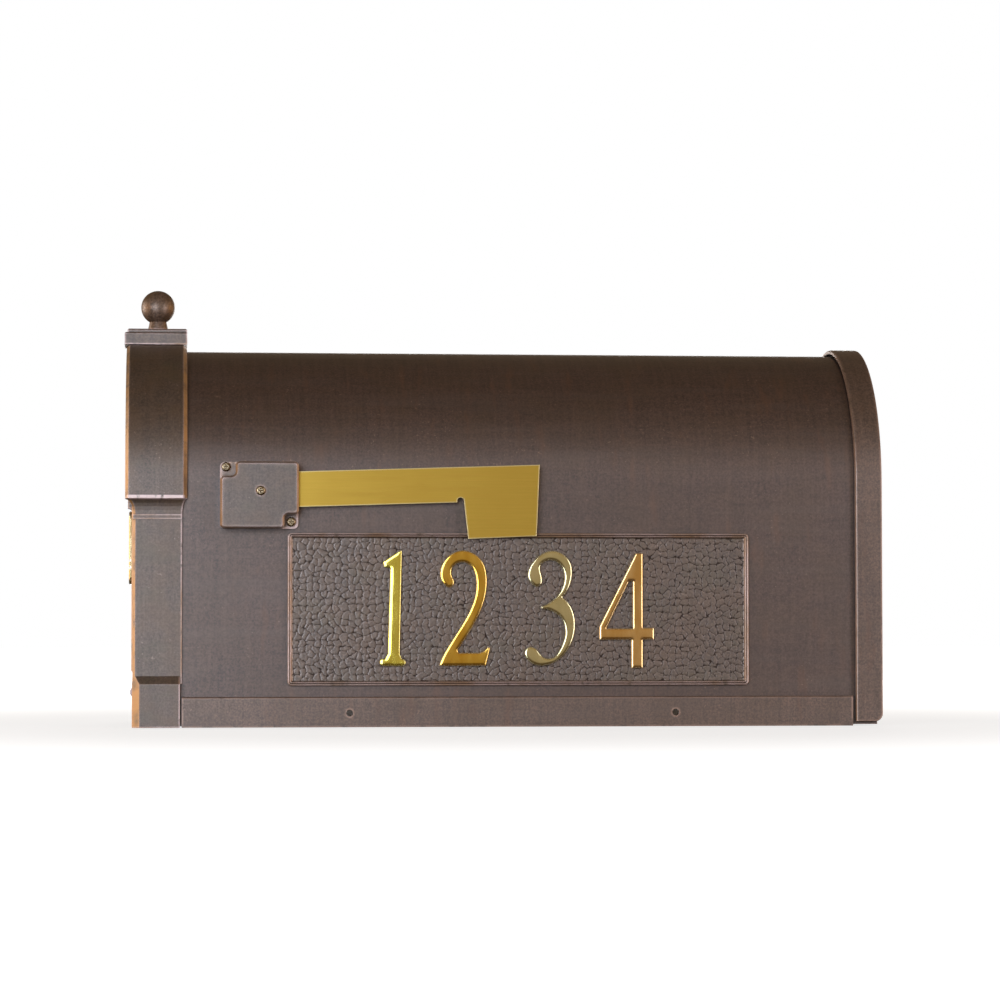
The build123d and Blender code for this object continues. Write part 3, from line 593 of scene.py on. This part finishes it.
def cell_noise(points, size, seed):
    """How much nearer the nearest random middle is than the next, and a number for each cell."""
    random = np.random.RandomState(seed)
    low = points.min(axis=0) - 3 * size
    count = np.ceil((points.max(axis=0) + 3 * size - low) / size).astype(int)
    jitter = random.rand(count[0], count[1], 2) * pebble_jitter
    value = random.rand(count[0], count[1])
    home = np.floor((points - low) / size).astype(int)
    first = np.full(len(points), np.inf)
    second = np.full(len(points), np.inf)
    owner = np.zeros(len(points))
    for i in range(-2, 3):
        for j in range(-2, 3):
            cell = np.clip(home + (i, j), 0, count - 1)
            middle = low + (cell + jitter[cell[:, 0], cell[:, 1]]) * size
            gap = np.hypot(*(points - middle).T)
            nearer = gap < first
            second = np.where(nearer, first, np.minimum(second, gap))
            owner = np.where(nearer, value[cell[:, 0], cell[:, 1]], owner)
            first = np.minimum(first, gap)
    return (second - first) / size, owner


def smooth_step(value, low, high):
    """0 below low, 1 above high, and a smooth rise between them."""
    t = np.clip((value - low) / (high - low), 0, 1)
    return t * t * (3 - 2 * t)


def wobble(points, length, amount):
    """Bends the cells so that their edges aren't straight."""
    x, z = points.T / length
    shift_x = np.sin(2.1 * z + 1.3 * np.sin(1.7 * x)) + 0.5 * np.sin(4.7 * z - 2.2 * x)
    shift_z = np.sin(1.9 * x + 1.1 * np.sin(2.3 * z)) + 0.5 * np.sin(5.3 * x + 1.4 * z)
    return points + amount * np.stack([shift_x, shift_z], axis=1)


def make_plaque(material):
    """Cast plate with a double bead round a pebbled field; "relief" is 0 where dark wash stays."""
    low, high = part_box("address_plaque")
    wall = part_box("body_shell")[0][1]
    corner_low, corner_high = (low[0], low[2]), (high[0], high[2])
    outline = rounded_rectangle(corner_low, corner_high, plaque_corner, plaque_outline_step)
    depths, heights, wash = np.array(plaque_profile).T
    depths = depths * MM
    heights = heights * MM
    field_edge = depths[-1]
    grid = hex_points(corner_low, corner_high, pebble_step)
    margin = np.minimum(grid - corner_low, np.array(corner_high) - grid).min(axis=1)
    grid = grid[margin > field_edge + field_fade / 2]
    rings = []
    for depth in depths[1:]:
        inner_low = (corner_low[0] + depth, corner_low[1] + depth)
        inner_high = (corner_high[0] - depth, corner_high[1] - depth)
        corner = max(plaque_corner - depth, plaque_least_corner)
        rings.append(rounded_rectangle(inner_low, inner_high, corner, plaque_outline_step))

    def pebble_heights(points):
        bent = wobble(wobble(points, *wide_bend), *fine_bend)
        edge, owner = cell_noise(bent, pebble_size, pebble_seed)
        fine, _ = cell_noise(wobble(points, *split_bend), pebble_size / 2, split_seed)
        crown = smooth_step(edge, 0.0, crack_width)
        split = 1 - split_depth * (1 - smooth_step(fine, 0.0, crack_width)) * (owner > split_share)
        return crown * split, owner

    def height_of(points, depth):
        rim = np.interp(depth, depths, heights)
        crown, owner = pebble_heights(points)
        field = heights[-1] - field_drop + (pebble_relief + pebble_spread * owner) * crown
        inside = smooth_step(depth, field_edge, field_edge + field_fade)
        return rim * (1 - inside) + field * inside

    piece, points = relief_solid("address_plaque_casting", [outline], np.concatenate(rings + [grid]),
                                 height_of, wall, material)
    depth = distance_to(points, [outline])
    crown, _ = pebble_heights(points)
    inside = smooth_step(depth, field_edge, field_edge + field_fade)
    relief = np.interp(depth, depths, wash) * (1 - inside) + crown * inside
    values = np.ones(len(piece.data.vertices), np.float32)
    values[:len(points)] = relief
    layer = piece.data.attributes.new("relief", "FLOAT", "POINT")
    layer.data.foreach_set("value", values)
    add_studs(piece, low, high, wall)
    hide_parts("address_plaque")
    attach(piece, "box")


def add_studs(piece, low, high, wall):
    """The four studs that pass through the wall to the nuts inside."""
    solid = bmesh.new()
    solid.from_mesh(piece.data)
    tip = high[1]
    for x in (low[0] + plaque_stud_inset, high[0] - plaque_stud_inset):
        for z in (low[2] + plaque_stud_inset, high[2] - plaque_stud_inset):
            made = bmesh.ops.create_cone(solid, cap_ends=True, segments=24, radius1=plaque_stud_radius,
                                         radius2=plaque_stud_radius, depth=tip - wall)
            for vertex in made["verts"]:
                x0, y0, z0 = vertex.co
                vertex.co = (x + x0, (tip + wall) / 2 + z0, z + y0)
    solid.to_mesh(piece.data)
    solid.free()


def make_numeral(node, material):
    """Numeral with a rounded edge, a soft bevel and a slightly crowned face, on the CAD outline."""
    low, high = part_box(node)
    face = low[1]
    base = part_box("address_plaque")[0][1] + numeral_seat
    loops = [loop for loop in wall_loops(node, base) if np.ptp(loop[:, 0]) > numeral_least_loop]
    loops = [resample(loop, numeral_outline_step) for loop in loops]
    depths = [numeral_round * step for step in round_steps]
    depths += [numeral_bevel * step for step in bevel_steps]
    rings = inset_rings(loops, depths)
    grid = hex_points(np.min([l.min(axis=0) for l in loops], axis=0),
                      np.max([l.max(axis=0) for l in loops], axis=0), numeral_grid_step)
    grid = grid[inside_of(grid, loops)]
    grid = grid[distance_to(grid, loops) > 1.4 * numeral_bevel]
    thickness = base - face
    slope = math.tan(math.radians(numeral_tilts[node]))
    lowest = max(slope * low[0], slope * high[0])

    def height_of(points, depth):
        rim = np.clip(1 - depth / numeral_round, 0, 1)
        fall = numeral_round * (1 - np.sqrt(1 - rim**2))
        shoulder = np.clip(1 - depth / numeral_bevel, 0, 1)
        fall += numeral_slope * numeral_bevel * (shoulder - 0.5 * np.sin(np.pi * shoulder) / np.pi)
        crown = numeral_crown * np.clip(1 - depth / numeral_crown_width, 0, 1) ** 2
        return thickness - fall - crown + slope * points[:, 0] - lowest

    piece, _ = relief_solid(node + "_polished", loops, np.concatenate([rings, grid]), height_of,
                            base, material)
    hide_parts(node)
    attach(piece, "box")


# --- studio -------------------------------------------------------------------------------------
def make_camera():
    """Long lens, a little below the middle of the box and to its door side."""
    data = bpy.data.cameras.new("camera")
    data.lens = camera_lens
    data.sensor_width = 36.0
    data.clip_end = 100.0
    camera = bpy.data.objects.new("camera", data)
    camera.location = camera_place
    turn = (math.radians(90 + camera_rise), math.radians(camera_roll), math.radians(-camera_turn))
    camera.rotation_euler = turn
    bpy.context.scene.collection.objects.link(camera)
    bpy.context.scene.camera = camera


def make_floor():
    """Pale floor, seen by the camera only, that clears to white away from the box."""
    low = cad_box[0][2]
    size = floor_reach
    corners = [(-size, -size, low), (size, -size, low), (size, size, low), (-size, size, low)]
    g = material_graph("pale_floor")
    away = g.add("ShaderNodeVectorMath", {0: g.place}, operation="LENGTH").outputs["Value"]
    glow = g.fade(away, floor_shade, floor_clear, 0.72, 1.02)
    grain = g.noise((30, 30, 30), 2.0)
    colour = g.blend(grain, rgb(0.34, 0.34, 0.34), rgb(0.36, 0.36, 0.36))
    material = g.finish(colour, 0.9, grain, 0.01 * MM, 0.0, Emission_Color=rgb(1, 1, 1))
    shader = next(node for node in g.tree.nodes if node.type == "BSDF_PRINCIPLED")
    g.set(shader.inputs["Emission Strength"], glow)
    floor = new_piece("floor", corners, [(0, 1, 2, 3)], material, smooth=False)
    floor.visible_diffuse = False
    floor.visible_glossy = False


def make_world():
    """Dim warm room, orange to the sides and dark above, below and behind; white to the camera."""
    world = bpy.data.worlds.new("studio")
    bpy.context.scene.world = world
    g = Graph(world)
    x, y, z = g.add("ShaderNodeSeparateXYZ", {0: g.coordinates["Generated"]}).outputs
    height = g.add("ShaderNodeValToRGB", {0: g.fade_line(z, -1.0, 1.0)})
    elements = height.color_ramp.elements
    for number, (position, colour) in enumerate(room_stops):
        stop = elements[number] if number < len(elements) else elements.new(position)
        stop.position = position
        stop.color = rgb(*colour)
    beside = g.fade(g.math("ABSOLUTE", x), 0.62, 0.95)
    level = g.fade(g.math("ABSOLUTE", z), 0.45, 0.10)
    colour = g.blend(g.math("MULTIPLY", beside, level), height.outputs[0], rgb(1.45, 0.82, 0.30))
    room = g.add("ShaderNodeBackground", {0: colour, 1: g.fade(y, 0.9, -0.2, 0.50, 1.0)})
    white = g.add("ShaderNodeBackground", {0: rgb(1, 1, 1)})
    seen = g.add("ShaderNodeLightPath").outputs["Is Camera Ray"]
    mix = g.add("ShaderNodeMixShader", {0: seen, 1: room.outputs[0], 2: white.outputs[0]})
    g.add("ShaderNodeOutputWorld", {0: mix.outputs[0]})


def softbox(name, azimuth, height, width, tall, power, colour):
    """Soft area light aimed at the middle of the box; azimuth is to the right of the flag side."""
    data = bpy.data.lights.new(name, "AREA")
    data.shape = "RECTANGLE"
    data.size = width
    data.size_y = tall
    data.energy = power
    data.color = colour
    light = bpy.data.objects.new(name, data)
    angle = math.radians(azimuth)
    middle = (Vector(cad_box[0]) + Vector(cad_box[1])) / 2
    light.location = middle + Vector((math.sin(angle) * softbox_distance,
                                      -math.cos(angle) * softbox_distance, height))
    light.rotation_euler = (middle - light.location).to_track_quat("-Z", "Y").to_euler()
    light.visible_camera = False
    bpy.context.scene.collection.objects.link(light)


def make_studio():
    """Camera, room, floor and four soft lights, shown without any tone curve."""
    make_camera()
    make_world()
    make_floor()
    cool, cooler, warm = (0.86, 0.87, 1.0), (0.75, 0.85, 1.0), (1.0, 0.98, 0.96)
    softbox("softbox_left", azimuth=-28, height=0.10, width=1.4, tall=1.3, power=35, colour=cooler)
    softbox("softbox_right", azimuth=44, height=0.10, width=0.9, tall=1.3, power=17, colour=cool)
    softbox("softbox_rear", azimuth=170, height=0.15, width=1.4, tall=1.0, power=14, colour=warm)
    softbox("softbox_door", azimuth=-110, height=0.20, width=1.2, tall=1.0, power=18, colour=warm)
    settings = bpy.context.scene.view_settings
    settings.view_transform = "Standard"
    settings.look = "None"


def make_finishes():
    """Materials for the CAD nodes, and the plaque and numerals that replace five of them."""
    body_tones = (rgb(0.029, 0.016, 0.011), rgb(0.160, 0.092, 0.069))
    trim_tones = (rgb(0.046, 0.028, 0.020), rgb(0.255, 0.162, 0.118))
    assign(antique_sheet("antique_copper_sheet", *body_tones, wear=1.0 * MM), "body_shell")
    assign(antique_sheet("antique_copper_trim", *trim_tones, wear=1.8 * MM), "side_rail_right",
           "side_rail_left", "rear_cap")
    # the slant setting of these castings sets how strong the painted warm reflection on their slanted
    # faces is
    assign(antique_casting("antique_copper_casting", coat=0.80, bright=1.08, slant_reflection=0.8, lip=True),
           "front_frame", "cap_block", "door_panel")
    assign(antique_casting("antique_copper_housing", wear=2.6 * MM), "flag_housing")
    turned = antique_casting("antique_copper_turned", coat=0.22, warmth=0.9, bright=1.9, slant_reflection=0.0)
    assign(turned, "finial_ball")
    assign(satin_brass(), "flag_blade", "flag_bushing")
    assign(polished_brass("polished_brass_pull", *brass_tones["door_pull"]), "door_pull")
    assign(aged_screw(), "housing_screws", "pivot_screw")
    assign(zinc_steel(), "rear_cap_screws", "frame_screws", "frame_rivets", "door_hinge_pins",
           "catch_screws", "strike_plate", "strike_rivets", "pull_screws", "housing_nuts",
           "plaque_nuts", "spring_washer", "front_washer")
    assign(mill_sheet(), "floor_pan")
    assign(ceramic_magnet(), "catch_magnet")
    assign(packing_rubber(), "rear_spacer")
    make_plaque(antique_casting("antique_copper_pebbled", wear=1.2 * MM, bright=1.12, crevices=True))
    for node in numeral_tilts:
        make_numeral(node, polished_brass("polished_brass_" + node, *brass_tones[node]))


make_studio()
make_finishes()
